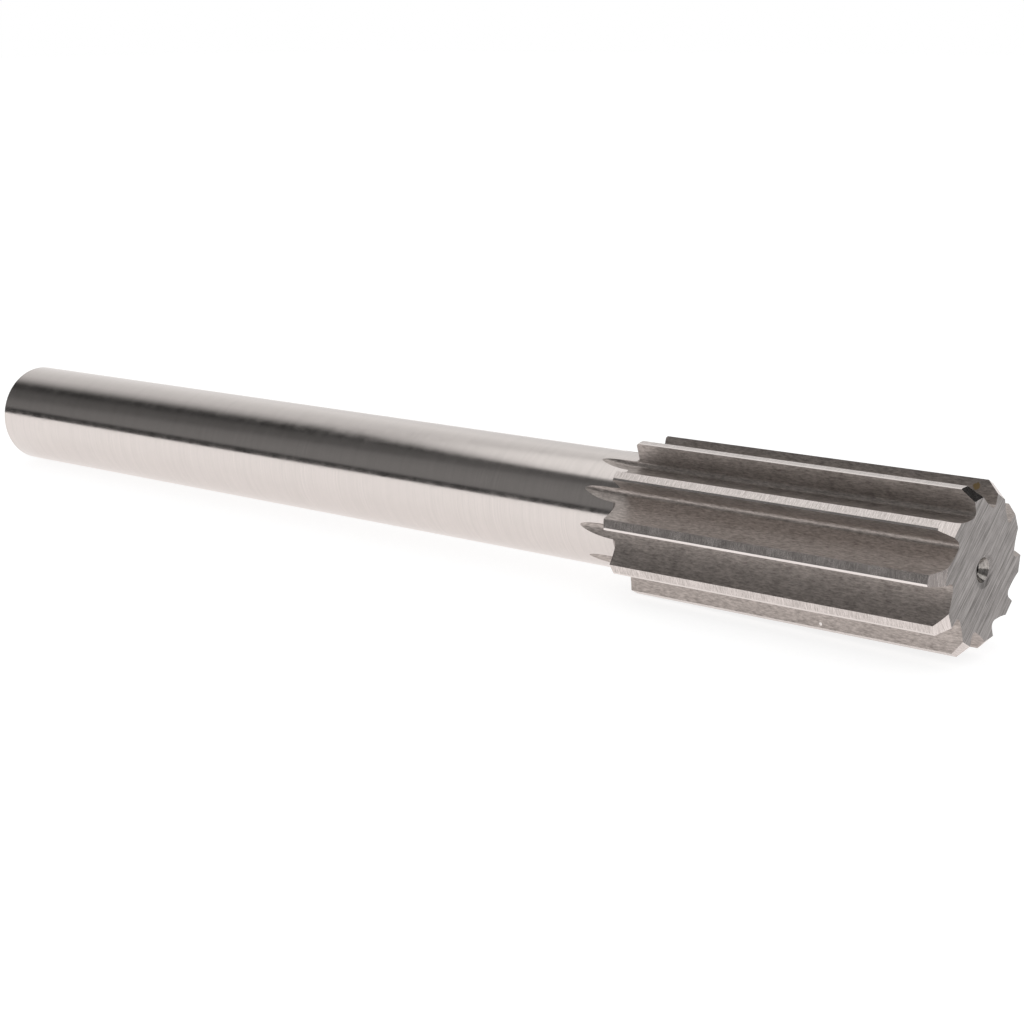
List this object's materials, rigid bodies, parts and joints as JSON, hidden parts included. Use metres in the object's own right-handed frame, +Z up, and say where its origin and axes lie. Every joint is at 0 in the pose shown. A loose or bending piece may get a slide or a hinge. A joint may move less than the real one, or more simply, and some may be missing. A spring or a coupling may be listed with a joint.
{
  "type": "machine reamer",
  "caption": "Straight-fluted machine reamer with a chamfered cutting end and a long plain round shank, lying on its side.",
  "frame": {"origin": "middle of the tool's footprint, on the surface that it lies on", "axes": "+X towards the cutting end, within one degree of the tool's axis; +Z up; +Y to the left of the tool"},
  "size_m": [0.2924, 0.0342, 0.0342],
  "materials": {
    "reamer_steel": "ground steel: bright shank and lands, darker matt flutes"
  },
  "bodies": {
    "root": {"reamer": "reamer_steel"}
  },
  "joints": []
}
